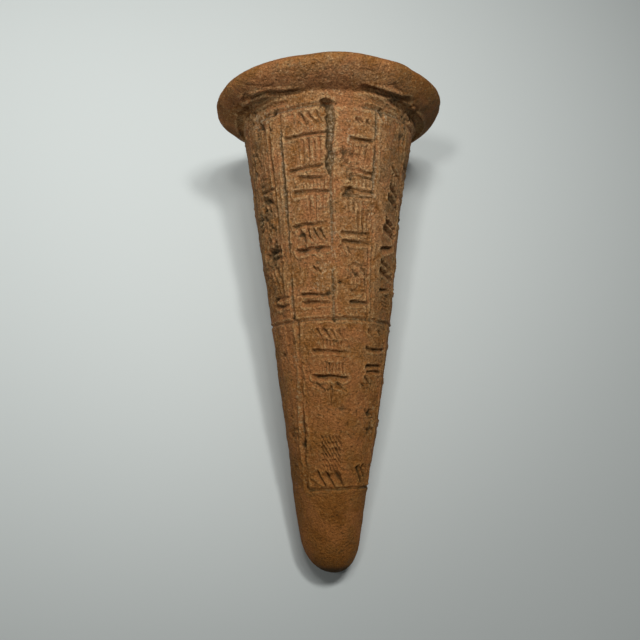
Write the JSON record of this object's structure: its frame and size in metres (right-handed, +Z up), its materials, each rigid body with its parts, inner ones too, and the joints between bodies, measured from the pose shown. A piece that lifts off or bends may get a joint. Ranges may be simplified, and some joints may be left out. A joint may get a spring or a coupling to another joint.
{
  "type": "foundation cone",
  "caption": "Fired-clay foundation cone: a tapering nail-shaped peg with a rolled, domed head, ruled columns of shallow strokes and a blunt point, lying on its side.",
  "frame": {"origin": "centre of the footprint, on the floor that the cone lies on", "axes": "+Y from the point to the head, +Z up, +X to the right seen from the point"},
  "size_m": [0.0606, 0.127, 0.059],
  "materials": {
    "fired_clay": "matt, unglazed, low-fired reddish-brown clay with a sandy grain"
  },
  "bodies": {
    "root": {"clay_cone": "fired_clay"}
  },
  "joints": []
}
